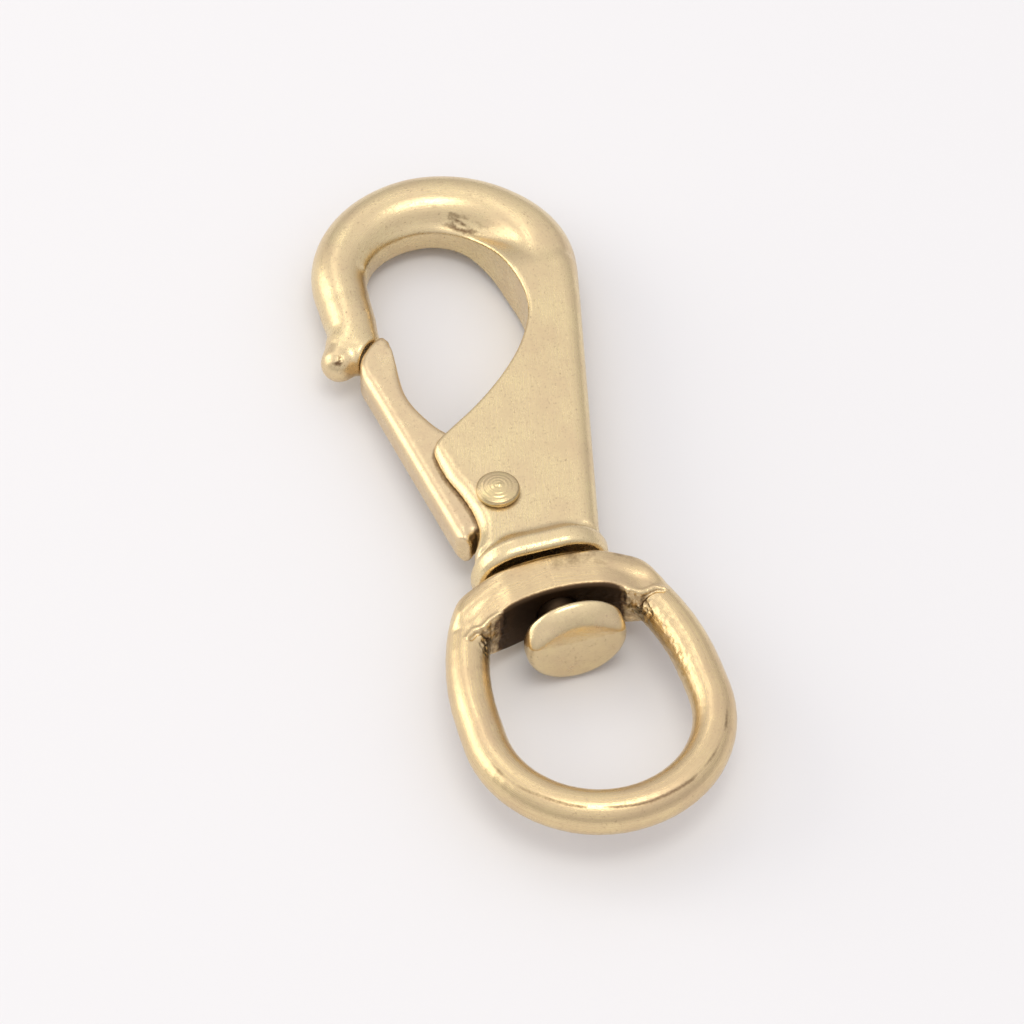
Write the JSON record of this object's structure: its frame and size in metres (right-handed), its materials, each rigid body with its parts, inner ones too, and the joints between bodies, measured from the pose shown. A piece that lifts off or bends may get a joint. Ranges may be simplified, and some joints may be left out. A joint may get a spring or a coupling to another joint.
{
  "type": "swivel snap hook",
  "caption": "Cast trigger snap hook with a sprung riveted gate, a ball-ended nose and a round eye that swivels on a headed stud.",
  "frame": {"origin": "centre of the swivel eye's round end, in the hook's middle plane", "axes": "+Y along the swivel axis from the eye towards the top of the bow; +Z out of the face that carries the rivet's domed head; +X from the gate towards the spine"},
  "size_m": [0.0307, 0.09, 0.0104],
  "materials": {
    "body_brass": "tumbled satin cast brass",
    "gate_brass": "tumbled satin cast brass",
    "rivet_brass": "turned and polished brass",
    "spring_wire": "drawn spring wire",
    "stud_brass": "cast brass, polished by wear",
    "eye_brass": "cast brass, tumbled, darker in the corners"
  },
  "bodies": {
    "hook": {"hook_body": "body_brass", "gate_rivet": "rivet_brass", "gate_spring": "spring_wire", "swivel_stud": "stud_brass"},
    "gate": {"gate": "gate_brass"},
    "eye": {"swivel_eye": "eye_brass"}
  },
  "joints": [
    {"name": "gate_hinge", "type": "hinge", "parent": "hook", "child": "gate", "pos_m": [-0.0021, 0.0284, 0], "axis": [0, 0, -1], "range_deg": [0, 28], "stiffness_Nm_per_rad": 0.18, "springref_deg": -18.91, "deforming": ["gate_spring"]},
    {"name": "eye_swivel", "type": "hinge", "parent": "hook", "child": "eye", "pos_m": [0, 0.0165, 0], "axis": [0, 1, 0], "continuous": true}
  ]
}
